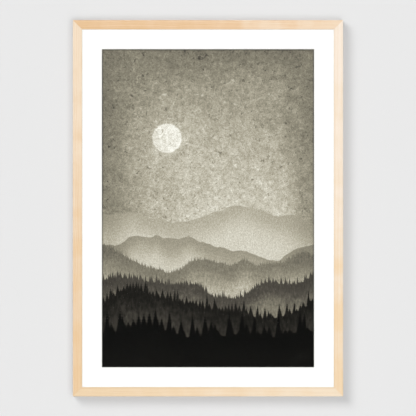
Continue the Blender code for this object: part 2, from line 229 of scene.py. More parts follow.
def late_wood(tree, place, pith):
    """How dark the growth rings are: bands of equal width by the distance from the pith,
    which runs along the board. Noise sways them and makes each one weaker or stronger."""
    from_pith = add_node(tree, "VectorMath", {0: place, 1: (0, *pith)}, operation="SUBTRACT")
    across = add_node(tree, "VectorMath", {0: from_pith, 1: (0, 1, 1)}, operation="MULTIPLY")
    radius = add_node(tree, "VectorMath", {0: across}, operation="LENGTH").outputs["Value"]
    sway = stretched_marks(tree, place, SWAY_SIZE, 2.0)
    swayed = add_node(tree, "Math", {0: sway, 1: RING_SWAY, 2: radius}, operation="MULTIPLY_ADD")
    count = add_node(tree, "Math", {0: swayed, 1: RING_SPACING}, operation="DIVIDE")
    strength = add_node(tree, "TexNoise", {"W": count, "Scale": 0.6, "Detail": 3.0}, noise_dimensions="1D")
    ring = add_node(tree, "Math", {0: count, 1: 0.5}, operation="PINGPONG")
    late = add_node(tree, "MapRange", {0: ring, 1: 0.18, 2: 0.5, 3: 0.0, 4: 1.0},
                    interpolation_type="SMOOTHSTEP")
    return add_node(tree, "Math", {0: late, 1: strength}, operation="MULTIPLY")


def board_colour(tree, place, start, end, tones, pith, sight_shade):
    """The wood without its fibres: three tones that follow one another from the start of
    the rail to its end, broken up by streaks and patches, then rings in a darker shade
    and a painted shade of the given strength, honey in colour, along the sight edge."""
    split = add_node(tree, "SeparateXYZ", {0: place})
    slope = add_node(tree, "MapRange", {0: split.outputs["X"], 1: start, 2: end, 3: -0.1, 4: 1.1})
    streak = stretched_marks(tree, place, STREAK_SIZE, 4.0, 0.6)
    patch = stretched_marks(tree, place, PATCH_SIZE, 3.0)
    share = add_node(tree, "Math", {0: streak, 1: STREAK_WEIGHT, 2: slope}, operation="MULTIPLY_ADD")
    share = add_node(tree, "Math", {0: patch, 1: PATCH_WEIGHT, 2: share}, operation="MULTIPLY_ADD")
    share = add_node(tree, "Math", {0: share, 1: (STREAK_WEIGHT + PATCH_WEIGHT) / 2},
                     operation="SUBTRACT", use_clamp=True)
    board = add_node(tree, "ValToRGB", {0: share}, stops=zip((0.0, 0.5, 1.0), tones))
    # Painted shade: towards the sight edge the colour darkens to honey, standing in for the shade there
    edge = RAIL_FACE / MM
    line = add_node(tree, "MapRange", {0: split.outputs["Y"], 1: edge - SIGHT_SHADE_START,
                                       2: edge - SIGHT_SHADE_FULL, 3: 0.0, 4: sight_shade},
                    interpolation_type="SMOOTHSTEP")
    line = add_node(tree, "Math", {0: line, 1: patch}, operation="MULTIPLY")
    # The rings darken the board's colour, then the painted shade along the sight edge does
    for strength, shade in ((late_wood(tree, place, pith), "#F0DFCB"), (line, "#F2E6D8")):
        board = add_node(tree, "Mix", {0: strength, 6: board, 7: linear(shade)}, data_type="RGBA",
                         blend_type="MULTIPLY").outputs[2]
    return board


def maple(name, tones, board_number, pith, sight_shade, half_length):
    """Hard maple, planed and satin lacquered: pale, with faint rings that run along the
    rail as streaks, short brown flecks, and fibres too fine to see from a step away.
    Its back has no lacquer and is duller."""
    material, tree = new_material(name)
    middle = board_number * BOARD_APART
    stick = add_node(tree, "Attribute", attribute_name="stick").outputs["Vector"]
    place = add_node(tree, "VectorMath", {0: stick, 1: (1 / MM, 1 / MM, 1 / MM), 2: (middle, 0, 0)},
                     operation="MULTIPLY_ADD")
    board = board_colour(tree, place, middle - half_length, middle + half_length, tones, pith, sight_shade)

    fibre = stretched_marks(tree, place, FIBRE_SIZE, 3.0)
    fleck = stretched_marks(tree, place, FLECK_SIZE, 1.0)
    fleck = add_node(tree, "MapRange", {0: fleck, 1: 0.68, 2: 0.8, 3: 0.0, 4: 1.0})
    shade = add_node(tree, "MapRange", {0: fibre, 1: 0.2, 2: 0.8, 3: 0.955, 4: 1.03})
    shade = add_node(tree, "Math", {0: fleck, 1: -0.12, 2: shade}, operation="MULTIPLY_ADD")
    board = add_node(tree, "VectorMath", {0: board, "Scale": shade}, operation="SCALE")

    depth = add_node(tree, "SeparateXYZ", {0: place}).outputs["Z"]
    bare = add_node(tree, "Math", {0: depth, 1: BACK_Y / MM - BARE_BACK}, operation="GREATER_THAN")
    sheen = add_node(tree, "MapRange", {0: fibre, 3: 0.34, 4: 0.5})
    rough = add_node(tree, "Math", {0: bare, 1: 0.3, 2: sheen}, operation="MULTIPLY_ADD")
    bump = add_node(tree, "Bump", {"Height": fibre, "Strength": 0.25, "Distance": 0.03 * MM})
    shader = add_node(tree, "BsdfPrincipled", {"Base Color": board, "Roughness": rough, "IOR": 1.5,
                                               "Coat Weight": 0.15, "Coat Roughness": 0.3,
                                               "Normal": bump})
    add_node(tree, "OutputMaterial", {"Surface": shader})
    return material


# Each rail: its tones from one end to the other, its board, the pith's place across that
# board in mm, and how strong the painted shade along its sight edge is
rails = {
    "rail_top": (("#E3C096", "#E8C8A4", "#EED8BE"), 1, (-38, 24), 0.15),
    "rail_bottom": (("#E9D1AF", "#ECD6B8", "#EFDEC6"), 2, (70, -52), 0.4),
    "stile_left": (("#E7C8A0", "#E9D0B1", "#EEDBC3"), 3, (-52, 30), 0.1),
    "stile_right": (("#EDD4B1", "#F0E0CB", "#F4E7D8"), 4, (66, -34), 0.55),
}
for node, (tones, board_number, pith, sight_shade) in rails.items():
    upright = node.startswith("stile")
    grid = rail_points((FRAME_HEIGHT if upright else FRAME_WIDTH) / 2)
    along, across, depth = np.moveaxis(grid, -1, 0)
    side = -1 if node in ("stile_left", "rail_bottom") else 1
    if upright:
        points = np.stack([side * (FRAME_WIDTH / 2 - across), depth, MIDDLE_Z + along], -1)
    else:
        points = np.stack([along, depth, MIDDLE_Z + side * (FRAME_HEIGHT / 2 - across)], -1)
    wood = maple("maple_" + node, tones, board_number, pith, sight_shade, along.max() / MM)
    rail = new_piece("maple_" + node, points, capped_faces(*along.shape), wood, node)
    rail.visible_diffuse = False
    stick = rail.data.attributes.new("stick", "FLOAT_VECTOR", "POINT")
    stick.data.foreach_set("vector", grid.astype(np.float32).ravel())

# Glazing: a 2 mm sheet of clear cast acrylic with an anti-reflective coating.
# Its sawn edges are scraped smooth and hide in the rabbet, behind the rails' lips.
GLAZING_EASE = 0.25 * MM


def rectangle_rings(rings, centre_z):
    """Rings of four corners each: half width, half height and depth for every ring."""
    sizes = np.array(rings)
    corners = np.array([(-1, -1), (1, -1), (1, 1), (-1, 1)])
    x = sizes[:, None, 0] * corners[None, :, 0]
    z = centre_z + sizes[:, None, 1] * corners[None, :, 1]
    y = np.repeat(sizes[:, 2:], 4, axis=1)
    return np.stack([x, y, z], -1)


def sheet_edge(low, high, ease):
    """Four rings over a flat sheet's edge, from its front to its back: chamfer, edge and
    chamfer, each chamfer as deep as it is wide."""
    wide, tall = (high.x - low.x) / 2, (high.z - low.z) / 2
    rings = [(wide - ease, tall - ease, low.y), (wide, tall, low.y + ease),
             (wide, tall, high.y - ease), (wide - ease, tall - ease, high.y)]
    return rectangle_rings(rings, (low.z + high.z) / 2)


def eased_sheet(name, node, ease, material):
    """A flat sheet in a node's own box, with its long edges chamfered by ease."""
    edge = sheet_edge(*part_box(node), ease)
    return new_piece(name, edge, capped_faces(4, 4), material, node)


def clear_acrylic():
    """Cast acrylic under an anti-reflective coating, drawn by an IOR of 1.15 in place of
    1.49: it mirrors 1% in all, and so thin a sheet bends light too little to show."""
    material, tree = new_material("anti_reflective_acrylic")
    shader = add_node(tree, "BsdfPrincipled", {"Base Color": linear("#FEFFFE"), "Roughness": 0.02,
                                               "IOR": 1.15, "Transmission Weight": 1.0})
    add_node(tree, "OutputMaterial", {"Surface": shader})
    return material


glazing = eased_sheet("acrylic_glazing", "glazing", GLAZING_EASE, clear_acrylic())
glazing.visible_shadow = False
glazing.visible_diffuse = False

# Window mat: four-ply white mat board, 1.4 mm thick, with a paper face.
# Its window is cut with a blade held at 45 degrees, which bares the white core.
mat_low, mat_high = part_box("mat_board")
MAT_THICKNESS = mat_high.y - mat_low.y
WINDOW_WIDTH = 508 * MM
WINDOW_HEIGHT = 762 * MM
MAT_EASE = 0.12 * MM


def past_edges(tree, place, middle_z, half_width, half_height):
    """How far a place lies outside a rectangle's sides, and outside its top and bottom;
    both are below zero inside it."""
    split = add_node(tree, "SeparateXYZ", {0: place})
    up = add_node(tree, "Math", {0: split.outputs["Z"], 1: middle_z}, operation="SUBTRACT")
    beyond = []
    for offset, half in ((split.outputs["X"], half_width), (up, half_height)):
        size = add_node(tree, "Math", {0: offset}, operation="ABSOLUTE")
        beyond.append(add_node(tree, "Math", {0: size, 1: half}, operation="SUBTRACT"))
    return beyond


def mat_paper():
    """Uncoated white board: dead matt, with a felt tooth of half a millimetre, drawn
    a little coarser than life; the cut core is a shade warmer."""
    material, tree = new_material("white_mat_board")
    place = add_node(tree, "TexCoord").outputs["Object"]
    tooth = add_node(tree, "TexNoise", {"Vector": place, "Scale": 1 / (0.9 * MM), "Detail": 4.0,
                                        "Roughness": 0.65})
    cloud = add_node(tree, "TexNoise", {"Vector": place, "Scale": 1 / (60 * MM), "Detail": 3.0})
    aside, above = past_edges(tree, place, MIDDLE_Z, WINDOW_WIDTH / 2 + MAT_THICKNESS,
                              WINDOW_HEIGHT / 2 + MAT_THICKNESS)
    outside = add_node(tree, "Math", {0: aside, 1: above}, operation="MAXIMUM")
    core = add_node(tree, "Math", {0: outside, 1: 0.0}, operation="LESS_THAN")
    face = add_node(tree, "Mix", {0: cloud, 6: linear("#FBFBFA"), 7: linear("#FDFDFB")},
                    data_type="RGBA").outputs[2]
    colour = add_node(tree, "Mix", {0: core, 6: face, 7: linear("#F4F3EE")}, data_type="RGBA").outputs[2]
    rough = add_node(tree, "MapRange", {0: tooth, 3: 0.82, 4: 0.96})
    bump = add_node(tree, "Bump", {"Height": tooth, "Strength": 0.3, "Distance": 0.03 * MM})
    shader = add_node(tree, "BsdfPrincipled", {"Base Color": colour, "Roughness": rough,
                                               "Specular IOR Level": 0.25, "Normal": bump})
    add_node(tree, "OutputMaterial", {"Surface": shader})
    return material


window_rings = [(WINDOW_WIDTH / 2, WINDOW_HEIGHT / 2, mat_high.y),
                (WINDOW_WIDTH / 2 + MAT_THICKNESS, WINDOW_HEIGHT / 2 + MAT_THICKNESS, mat_low.y)]
mat_points = np.concatenate([rectangle_rings(window_rings, MIDDLE_Z),
                             sheet_edge(mat_low, mat_high, MAT_EASE)])
rings = len(mat_points)
last = (rings - 1) * 4
mat_back = [(last + j, last + (j + 1) % 4, (j + 1) % 4, j) for j in range(4)]
new_piece("window_mat", mat_points, band_faces(rings, 4) + mat_back, mat_paper(), "mat_board")

# Print: one sheet of heavy satin paper with a monochrome pigment print on it.
# It lies flat between the mat and the backing board.
# The picture is a made-up one: misty hill ridges with firs under a mottled pale sky.
PICTURE_WIDTH = WINDOW_WIDTH / MM
PICTURE_HEIGHT = WINDOW_HEIGHT / MM
PAPER_EASE = 0.05 * MM

# Ink colours by tone, from solid black to the palest veil over the paper
INKS = [(0.0, "#080807"), (0.10, "#191815"), (0.31, "#4E4A43"), (0.53, "#888373"),
        (0.66, "#A8A291"), (0.77, "#C3BEAF"), (0.87, "#D9D6CA"), (1.0, "#F4F2EA")]

# A glow behind the hills: its middle, how it is squeezed along each axis, where it starts
# and stops falling off, and its tones at both. All places and lengths are in mm.
GLOW_PLACE = (40, 0, -70)
GLOW_SQUEEZE = (1.1, 0, 0.85)
GLOW_START, GLOW_END = 40, 430
GLOW_TONE, FAR_TONE = 0.77, 0.53

# A veiled disc and the halo round it: radius where each starts and stops fading, and lift
DISC_PLACE = (-98, 0, 168)
DISC_AND_HALO = [(33, 37, 0.20), (20, 150, 0.06)]

# Mottling of the sky, as on an old hand-coated plate: size, detail and depth
MOTTLES = [(120, 3.0, 0.17), (30, 4.0, 0.22), (9, 3.0, 0.30), (3.6, 2.0, 0.28)]

# Dark and pale spots in it: size, the noise values that each fades in between, and depth
SPOTS = [(8.0, 0.60, 0.72, -0.20), (14.0, 0.60, 0.74, 0.12)]

# Each ridge: the height of its crest above the picture's middle, how far that swells,
# over what length, its tone at the crest and at the misty foot, and its firs' height
RIDGES = [
    {"crest": -30, "swell": 110, "wave": 330, "tone": 0.66, "foot": 0.80, "fir": 0},
    {"crest": -85, "swell": 100, "wave": 260, "tone": 0.58, "foot": 0.78, "fir": 0},
    {"crest": -132, "swell": 90, "wave": 240, "tone": 0.46, "foot": 0.70, "fir": 10},
    {"crest": -180, "swell": 80, "wave": 280, "tone": 0.27, "foot": 0.46, "fir": 18},
    {"crest": -236, "swell": 70, "wave": 260, "tone": 0.10, "foot": 0.20, "fir": 32},
    {"crest": -304, "swell": 60, "wave": 320, "tone": 0.0, "foot": 0.03, "fir": 54},
]

# Where the first ridge is taken from its noise, how far on each next one is, and how far
# outside and inside its line a ridge's rim starts and ends
RIDGE_FIRST, RIDGE_APART = 1.3, 3.7
RIM_OUTSIDE, RIM_INSIDE = -0.6, 0.9

# Mist: how far down a ridge it starts, its depth, and how far and in what size it drifts
MIST_START = 30.0
MIST_DEPTH = 75.0
MIST_DRIFT = 60.0
MIST_DRIFT_SIZE = 75

# Firs: the width of the cell that each stands in and its least and greatest height, as
# shares of the ridge's fir height, its tiers of branches, how far each steps out as a
# share of a cell, and how many cells apart the rows are taken
FIR_CELL = 0.4
FIR_LEAST, FIR_GREATEST = 0.2, 1.3
FIR_TIERS = 8
FIR_TIER_STEP = 0.15
FIR_ROWS_APART = 5.5

# Crowns mottle a ridge: their width and depth of tone, with what each mm of fir height
# adds, how many widths tall they are, and their size through the paper
CROWN_WIDTH, CROWN_WIDTH_ADDED = 3.0, 0.12
CROWN_HEIGHT_SHARE = 2
CROWN_LAYER = 10 / 3
CROWN_DEPTH, CROWN_DEPTH_ADDED = 0.08, 0.01

# The picture's edges: how far in they darken, and the thin keyline along them; then the
# grain over it all
VIGNETTE_ROUND = 60.0
VIGNETTE_START, VIGNETTE_END = -10, 95
VIGNETTE_TONE = 0.84
KEYLINE_START, KEYLINE_END = 1.2, 3.6
KEYLINE_TONE = 0.62
GRAIN_SIZE = 2.2
GRAIN_DEPTH = 0.13


def fir_height(tree, x, z, fir, shift):
    """How far a row of firs stands above its ridge: one fir in each of a line of random
    cells, a cone of random height whose side steps out at every tier of branches."""
    cell = add_node(tree, "Math", {0: x, 1: 1 / (fir * FIR_CELL), 2: shift}, operation="MULTIPLY_ADD")
    trunk = add_node(tree, "TexVoronoi", {"W": cell, "Scale": 1.0, "Randomness": 0.9},
                     voronoi_dimensions="1D")
    tier = add_node(tree, "Math", {0: z, 1: FIR_TIERS / fir}, operation="MULTIPLY")
    tier = add_node(tree, "Math", {0: tier}, operation="FRACT")
    wide = add_node(tree, "Math", {0: tier, 1: FIR_TIER_STEP, 2: trunk.outputs["Distance"]},
                    operation="MULTIPLY_ADD")
    taper = add_node(tree, "MapRange", {0: wide, 1: 0.0, 2: 0.5, 3: 1.0, 4: 0.0})
    chance = add_node(tree, "SeparateXYZ", {0: trunk.outputs["Color"]}).outputs["X"]
    tall = add_node(tree, "MapRange", {0: chance, 3: fir * FIR_LEAST, 4: fir * FIR_GREATEST})
    return add_node(tree, "Math", {0: taper, 1: tall}, operation="MULTIPLY")


def distance_from(tree, place, centre, squeeze):
    """The distance of a place from a centre, measured with each axis squeezed."""
    offset = add_node(tree, "VectorMath", {0: place, 1: centre}, operation="SUBTRACT")
    offset = add_node(tree, "VectorMath", {0: offset, 1: squeeze}, operation="MULTIPLY")
    return add_node(tree, "VectorMath", {0: offset}, operation="LENGTH").outputs["Value"]


def sky_tone(tree, place):
    """A glow low in the middle and a veiled disc, each a smooth fall with distance from
    its centre, and mottling as a sum of noises from the size of a hand to a grain."""
    away = distance_from(tree, place, GLOW_PLACE, GLOW_SQUEEZE)
    tone = add_node(tree, "MapRange", {0: away, 1: GLOW_START, 2: GLOW_END, 3: GLOW_TONE, 4: FAR_TONE},
                    interpolation_type="SMOOTHSTEP")
    radius = distance_from(tree, place, DISC_PLACE, (1, 0, 1))
    for inner, outer, lift in DISC_AND_HALO:
        fall = add_node(tree, "MapRange", {0: radius, 1: inner, 2: outer, 3: lift, 4: 0.0},
                        interpolation_type="SMOOTHSTEP")
        tone = add_node(tree, "Math", {0: tone, 1: fall}, operation="ADD")
    for size, detail, depth in MOTTLES:
        mottle = add_node(tree, "TexNoise", {"Vector": place, "Scale": 1 / size, "Detail": detail,
                                             "Roughness": 0.6, "Distortion": 0.5})
        tone = add_node(tree, "Math", {0: mottle, 1: depth, 2: tone}, operation="MULTIPLY_ADD")
        tone = add_node(tree, "Math", {0: tone, 1: depth / 2}, operation="SUBTRACT")
    for size, start, end, depth in SPOTS:
        spot = add_node(tree, "TexNoise", {"Vector": place, "Scale": 1 / size, "Detail": 3.0,
                                           "Distortion": 1.2})
        spot = add_node(tree, "MapRange", {0: spot, 1: start, 2: end, 3: 0.0, 4: depth})
        tone = add_node(tree, "Math", {0: tone, 1: spot}, operation="ADD")
    return tone


def add_ridge(tree, place, tone, ridge, number):
    """Lay one ridge over the tone behind it. Its crest is a line of noise in x, with two
    rows of firs on it, and from the crest down it pales into drifting mist."""
    split = add_node(tree, "SeparateXYZ", {0: place})
    x, z = split.outputs["X"], split.outputs["Z"]
    line = add_node(tree, "Math", {0: x, 1: 1 / ridge["wave"], 2: RIDGE_APART * number + RIDGE_FIRST},
                    operation="MULTIPLY_ADD")
    swell = add_node(tree, "TexNoise", {"W": line, "Scale": 1.0, "Detail": 5.0, "Roughness": 0.42},
                     noise_dimensions="1D")
    crest = add_node(tree, "MapRange", {0: swell, 3: ridge["crest"] - ridge["swell"],
                                        4: ridge["crest"] + ridge["swell"]}, clamp=False)
    top = crest
    fir = ridge["fir"]
    if fir:
        rows = [fir_height(tree, x, z, fir, FIR_ROWS_APART * (2 * number + row)) for row in (0, 1)]
        taller = add_node(tree, "Math", {0: rows[0], 1: rows[1]}, operation="MAXIMUM")
        top = add_node(tree, "Math", {0: crest, 1: taller}, operation="ADD")
    below = add_node(tree, "Math", {0: top, 1: z}, operation="SUBTRACT")
    cover = add_node(tree, "MapRange", {0: below, 1: RIM_OUTSIDE, 2: RIM_INSIDE})

    drift = add_node(tree, "TexNoise", {"Vector": place, "Scale": 1 / MIST_DRIFT_SIZE, "Detail": 4.0})
    down = add_node(tree, "Math", {0: crest, 1: z}, operation="SUBTRACT")
    down = add_node(tree, "Math", {0: drift, 1: MIST_DRIFT, 2: down}, operation="MULTIPLY_ADD")
    mist = add_node(tree, "MapRange", {0: down, 1: MIST_START, 2: MIST_START + MIST_DEPTH,
                                       3: ridge["tone"], 4: ridge["foot"]},
                    interpolation_type="SMOOTHSTEP")
    width = CROWN_WIDTH + CROWN_WIDTH_ADDED * fir
    crown = stretched_marks(tree, place, (width, CROWN_LAYER, CROWN_HEIGHT_SHARE * width), 4.0, 0.65)
    depth = CROWN_DEPTH + CROWN_DEPTH_ADDED * fir
    shade = add_node(tree, "MapRange", {0: crown, 1: 0.25, 2: 0.75, 3: 1 - depth, 4: 1 + depth})
    mist = add_node(tree, "Math", {0: mist, 1: shade}, operation="MULTIPLY")
    return add_node(tree, "Mix", {0: cover, 2: tone, 3: mist}, data_type="FLOAT")


def edge_shades(tree, place):
    """Shares that darken the picture by the distance to its edges: a soft vignette, by a
    rounded minimum of both distances, and a thin keyline."""
    beyond = past_edges(tree, place, 0, PICTURE_WIDTH / 2, PICTURE_HEIGHT / 2)
    aside, below = [add_node(tree, "Math", {0: b, 1: -1}, operation="MULTIPLY") for b in beyond]
    soft = add_node(tree, "Math", {0: aside, 1: below, 2: VIGNETTE_ROUND}, operation="SMOOTH_MIN")
    vignette = add_node(tree, "MapRange", {0: soft, 1: VIGNETTE_START, 2: VIGNETTE_END, 3: VIGNETTE_TONE,
                                           4: 1.0}, interpolation_type="SMOOTHSTEP")
    nearest = add_node(tree, "Math", {0: aside, 1: below}, operation="MINIMUM")
    keyline = add_node(tree, "MapRange", {0: nearest, 1: KEYLINE_START, 2: KEYLINE_END, 3: KEYLINE_TONE,
                                          4: 1.0})
    return vignette, keyline


def picture_tone(tree, place):
    """The picture's tone from 0, black, to 1, paper white: sky, then ridges from far to
    near, then darker edges and grain."""
    tone = sky_tone(tree, place)
    for number, ridge in enumerate(RIDGES):
        tone = add_ridge(tree, place, tone, ridge, number)
    grain = add_node(tree, "TexNoise", {"Vector": place, "Scale": 1 / GRAIN_SIZE, "Detail": 2.0})
    grain = add_node(tree, "MapRange", {0: grain, 1: 0.25, 2: 0.75, 3: 1 - GRAIN_DEPTH, 4: 1 + GRAIN_DEPTH})
    for share in (*edge_shades(tree, place), grain):
        tone = add_node(tree, "Math", {0: tone, 1: share}, operation="MULTIPLY")
    return tone


def pigment_print():
    """Warm black pigment on satin paper: a soft sheen, a little more of it where the ink
    lies thick, over a paper tooth of 0.7 mm, which is drawn coarser than life. The
    picture is drawn by the place in mm from its middle."""
    material, tree = new_material("pigment_print_on_satin_paper")
    place = add_node(tree, "TexCoord").outputs["Object"]
    place = add_node(tree, "Mapping", {"Vector": place, "Location": (0, 0, -MIDDLE_Z / MM),
                                       "Scale": (1 / MM, 1 / MM, 1 / MM)})
    tone = picture_tone(tree, place)
    ink = add_node(tree, "ValToRGB", {0: tone}, stops=INKS)
    tooth = add_node(tree, "TexNoise", {"Vector": place, "Scale": 1 / 0.7, "Detail": 3.0})
    rough = add_node(tree, "MapRange", {0: tone, 3: 0.46, 4: 0.58})
    bump = add_node(tree, "Bump", {"Height": tooth, "Strength": 0.15, "Distance": 0.02 * MM})
    shader = add_node(tree, "BsdfPrincipled", {"Base Color": ink, "Roughness": rough,
                                               "Specular IOR Level": 0.12, "Normal": bump})
    add_node(tree, "OutputMaterial", {"Surface": shader})
    return material


eased_sheet("paper_print", "print_sheet", PAPER_EASE, pigment_print())

# Backing board: 3 mm fibreboard that shuts the package from behind.
# Pressed wood fibre, brown, smooth on this face, with sawn edges.
BOARD_EASE = 0.3 * MM
SHRED_SIZE = (7 * MM, MM, 0.8 * MM)

# Dark shreds lie one way and pale ones another: how far each is turned, and its colour
SHREDS = [(0.5, "#5E4128"), (2.1, "#CBA97C")]


def pressed_fibreboard():
    """Hardboard: felted fibres a few millimetres long, dark and light, under a pressed
    skin with a dull shine that is blotchy where the press plate was worn."""
    material, tree = new_material("pressed_fibreboard")
    place = add_node(tree, "TexCoord").outputs["Object"]
    blotch = add_node(tree, "TexNoise", {"Vector": place, "Scale": 1 / (70 * MM), "Detail": 5.0})
    felt = add_node(tree, "TexNoise", {"Vector": place, "Scale": 1 / (2.4 * MM), "Detail": 6.0,
                                       "Roughness": 0.7, "Distortion": 1.6})
    colour = add_node(tree, "ValToRGB", {0: felt}, stops=((0.3, "#7E5C3A"), (0.75, "#B08B60")))
    for turn, hex_colour in SHREDS:
        lie = add_node(tree, "Mapping", {"Vector": place, "Rotation": (0, turn, 0), "Scale": SHRED_SIZE},
                       vector_type="TEXTURE")
        shred = add_node(tree, "TexNoise", {"Vector": lie, "Scale": 1.0, "Detail": 2.0})
        shred = add_node(tree, "MapRange", {0: shred, 1: 0.62, 2: 0.78})
        colour = add_node(tree, "Mix", {0: shred, 6: colour, 7: linear(hex_colour)},
                          data_type="RGBA").outputs[2]
    shade = add_node(tree, "MapRange", {0: blotch, 1: 0.3, 2: 0.7, 3: 0.9, 4: 1.08})
    colour = add_node(tree, "VectorMath", {0: colour, "Scale": shade}, operation="SCALE")
    rough = add_node(tree, "MapRange", {0: blotch, 1: 0.3, 2: 0.7, 3: 0.5, 4: 0.72})
    bump = add_node(tree, "Bump", {"Height": felt, "Strength": 0.35, "Distance": 0.06 * MM})
    shader = add_node(tree, "BsdfPrincipled", {"Base Color": colour, "Roughness": rough, "Normal": bump})
    add_node(tree, "OutputMaterial", {"Surface": shader})
    return material


eased_sheet("fibre_backing", "backing_board", BOARD_EASE, pressed_fibreboard())

# Framer's tabs: stamped plates of bright steel, 0.6 mm thick, shot into the rabbet.
# Their tails lie on the back of the board and hold the package in the frame.
TAB_EASE = 0.12 * MM
ROLLING_LINE_SIZE = (0.25 * MM, MM, 8 * MM)


def stamped_steel():
    """Cold rolled steel strip as stamped: bright, with fine rolling lines and a film
    of oil that leaves it unevenly dull."""
    material, tree = new_material("stamped_steel")
    place = add_node(tree, "TexCoord").outputs["Object"]
    lines = stretched_marks(tree, place, ROLLING_LINE_SIZE, 3.0)
    film = add_node(tree, "TexNoise", {"Vector": place, "Scale": 1 / (4 * MM), "Detail": 4.0})
    colour = add_node(tree, "Mix", {0: film, 6: linear("#A9A8A4"), 7: linear("#D2D0CA")},
                      data_type="RGBA").outputs[2]
    rough = add_node(tree, "MapRange", {0: film, 1: 0.3, 2: 0.7, 3: 0.24, 4: 0.42})
    bump = add_node(tree, "Bump", {"Height": lines, "Strength": 0.3, "Distance": 0.01 * MM})
    shader = add_node(tree, "BsdfPrincipled", {"Base Color": colour, "Metallic": 1.0, "Roughness": rough,
                                               "Normal": bump})
    add_node(tree, "OutputMaterial", {"Surface": shader})
    return material


def ease_edges(piece, width):
    """Join a node's loose triangles and round its sharp edges a little."""
    weld = piece.modifiers.new("weld", "WELD")
    weld.merge_threshold = 0.001 * MM
    ease = piece.modifiers.new("ease", "BEVEL")
    ease.width = width
    ease.segments = 2
    ease.limit_method = "ANGLE"
    ease.angle_limit = math.radians(40)


tab_steel = stamped_steel()
for node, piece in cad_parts.items():
    if node.startswith("tab_"):
        piece.data.materials[0] = tab_steel
        ease_edges(piece, TAB_EASE)

# V-nails: bent spring steel, 0.6 mm thick and 10 mm long, two across each mitre.
# A press drives them flush into the back of the joint, where they pull it tight.
NAIL_THICKNESS = 0.6 * MM
NAIL_LEG = 5.5 * MM
NAIL_LEG_STEPS = 14
NAIL_HALF_ANGLE = math.radians(55)
NAIL_FOLD_SHARE = 0.12
NAIL_CURL = math.radians(25)
NAIL_CURL_START = 0.55
NAIL_PROUD = 0.04 * MM
NAIL_RING_DEPTH = 0.1 * MM


def nail_line():
    """The nail's middle line from above: a V with a round fold whose legs curl back
    towards the fold's axis near their ends. A leg is the sum of small steps, whose turn
    goes from square at the fold to the half angle and ends less by the curl."""
    share = np.linspace(0, 1, NAIL_LEG_STEPS)
    curled = np.clip((share - NAIL_CURL_START) / (1 - NAIL_CURL_START), 0, 1)
    unfolded = np.clip(share / NAIL_FOLD_SHARE, 0, 1)
    turn = unfolded * (NAIL_HALF_ANGLE - NAIL_CURL * curled) + (1 - unfolded) * math.pi / 2
    step = NAIL_LEG / (NAIL_LEG_STEPS - 1)
    leg = np.cumsum(np.stack([np.cos(turn), np.sin(turn)], -1) * step, axis=0)
    leg -= leg[0]
    return np.concatenate([leg[::-1] * (1, -1), leg[1:]])


def offset_loop(line, thickness):
    """A closed loop round an open line: half the thickness to its left, then back."""
    run = np.gradient(line, axis=0)
    run /= np.linalg.norm(run, axis=1)[:, None]
    left = np.stack([-run[:, 1], run[:, 0]], -1) * thickness / 2
    return np.concatenate([line + left, (line - left)[::-1]])


def spring_steel():
    """Blued spring steel strip, darker than the tabs, worn bright where it was driven."""
    material, tree = new_material("spring_steel")
    place = add_node(tree, "TexCoord").outputs["Object"]
    wear = add_node(tree, "TexNoise", {"Vector": place, "Scale": 1 / (1.2 * MM), "Detail": 3.0})
    colour = add_node(tree, "Mix", {0: wear, 6: linear("#6D6F73"), 7: linear("#B4B5B6")},
                      data_type="RGBA").outputs[2]
    rough = add_node(tree, "MapRange", {0: wear, 3: 0.25, 4: 0.5})
    shader = add_node(tree, "BsdfPrincipled", {"Base Color": colour, "Metallic": 1.0, "Roughness": rough})
    add_node(tree, "OutputMaterial", {"Surface": shader})
    return material


nail_loop = offset_loop(nail_line(), NAIL_THICKNESS)
nail_steel = spring_steel()
for node in sorted(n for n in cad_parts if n.startswith("v_nail_")):
    low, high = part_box(node)
    in_x = -1 if "right" in node else 1
    in_z = -1 if "top" in node else 1
    inward = np.array([in_x, in_z]) / math.sqrt(2)
    across = np.array([-inward[1], inward[0]])
    plan = nail_loop[:, :1] * inward + nail_loop[:, 1:] * across
    # The plan moves so that its edges on the joint's outer side meet those of the node
    outer_x = low.x - plan[:, 0].min() if in_x > 0 else high.x - plan[:, 0].max()
    outer_z = low.z - plan[:, 1].min() if in_z > 0 else high.z - plan[:, 1].max()
    plan += (outer_x, outer_z)
    depths = (BACK_Y + NAIL_PROUD, BACK_Y - NAIL_RING_DEPTH, low.y)
    points = np.stack([np.insert(plan, 1, y, axis=1) for y in depths])
    new_piece("folded_" + node, points, capped_faces(*points.shape[:2]), nail_steel, node)

# Sawtooth hanger: a strip of zinc-plated steel, blanked with a toothed lower edge.
# Its ends lie flat on the top rail under two screws; its raised middle hooks on a nail.
hanger_low, hanger_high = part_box("sawtooth_hanger")
HANGER_STATIONS = 641
HANGER_THICKNESS = 0.8 * MM
HANGER_RAISED = 40 * MM
HANGER_RAMP = 3.0 * MM
TOOTH_DEPTH = 2.4 * MM
TOOTH_PITCH = 4.0 * MM
TOOTH_LAND = 0.4 * MM
TOOTH_NOTCHES = 9
HANGER_EASE = 0.12 * MM
HANGER_HOLE_X = 27.5 * MM
HANGER_HOLE_RADIUS = 1.7 * MM
DRILL_ENDS_Y = (-6 * MM, 2 * MM)
DRILL_SEGMENTS = 48


